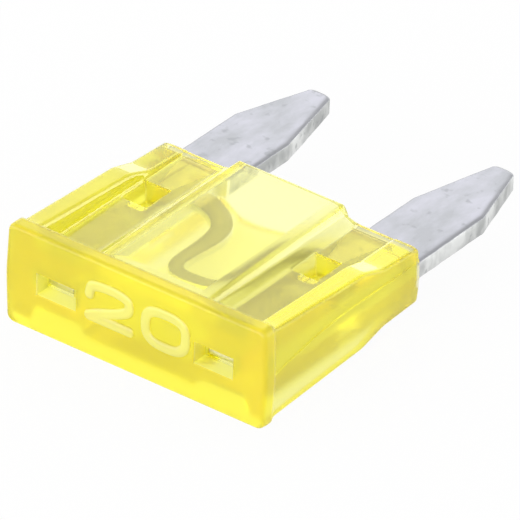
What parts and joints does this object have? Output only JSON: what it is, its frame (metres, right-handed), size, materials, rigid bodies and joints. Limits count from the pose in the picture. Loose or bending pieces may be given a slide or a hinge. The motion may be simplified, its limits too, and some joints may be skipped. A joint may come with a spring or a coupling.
{
  "type": "automotive blade fuse",
  "caption": "Small plug-in fuse: clear yellow plastic housing with probe windows and raised rating, over a stamped metal element with flat tapered blades.",
  "frame": {"origin": "middle of the footprint, on the plane of the lower large face of the head plate", "axes": "+Y from the head's printed face to the blade tips, +X across both blades, +Z normal to the large faces"},
  "size_m": [0.011, 0.0156, 0.0039],
  "materials": {
    "yellow_plastic": "clear, polished",
    "zinc": "satin stamped strip"
  },
  "bodies": {
    "root": {"housing": "yellow_plastic", "fuse_element": "zinc"}
  },
  "joints": []
}
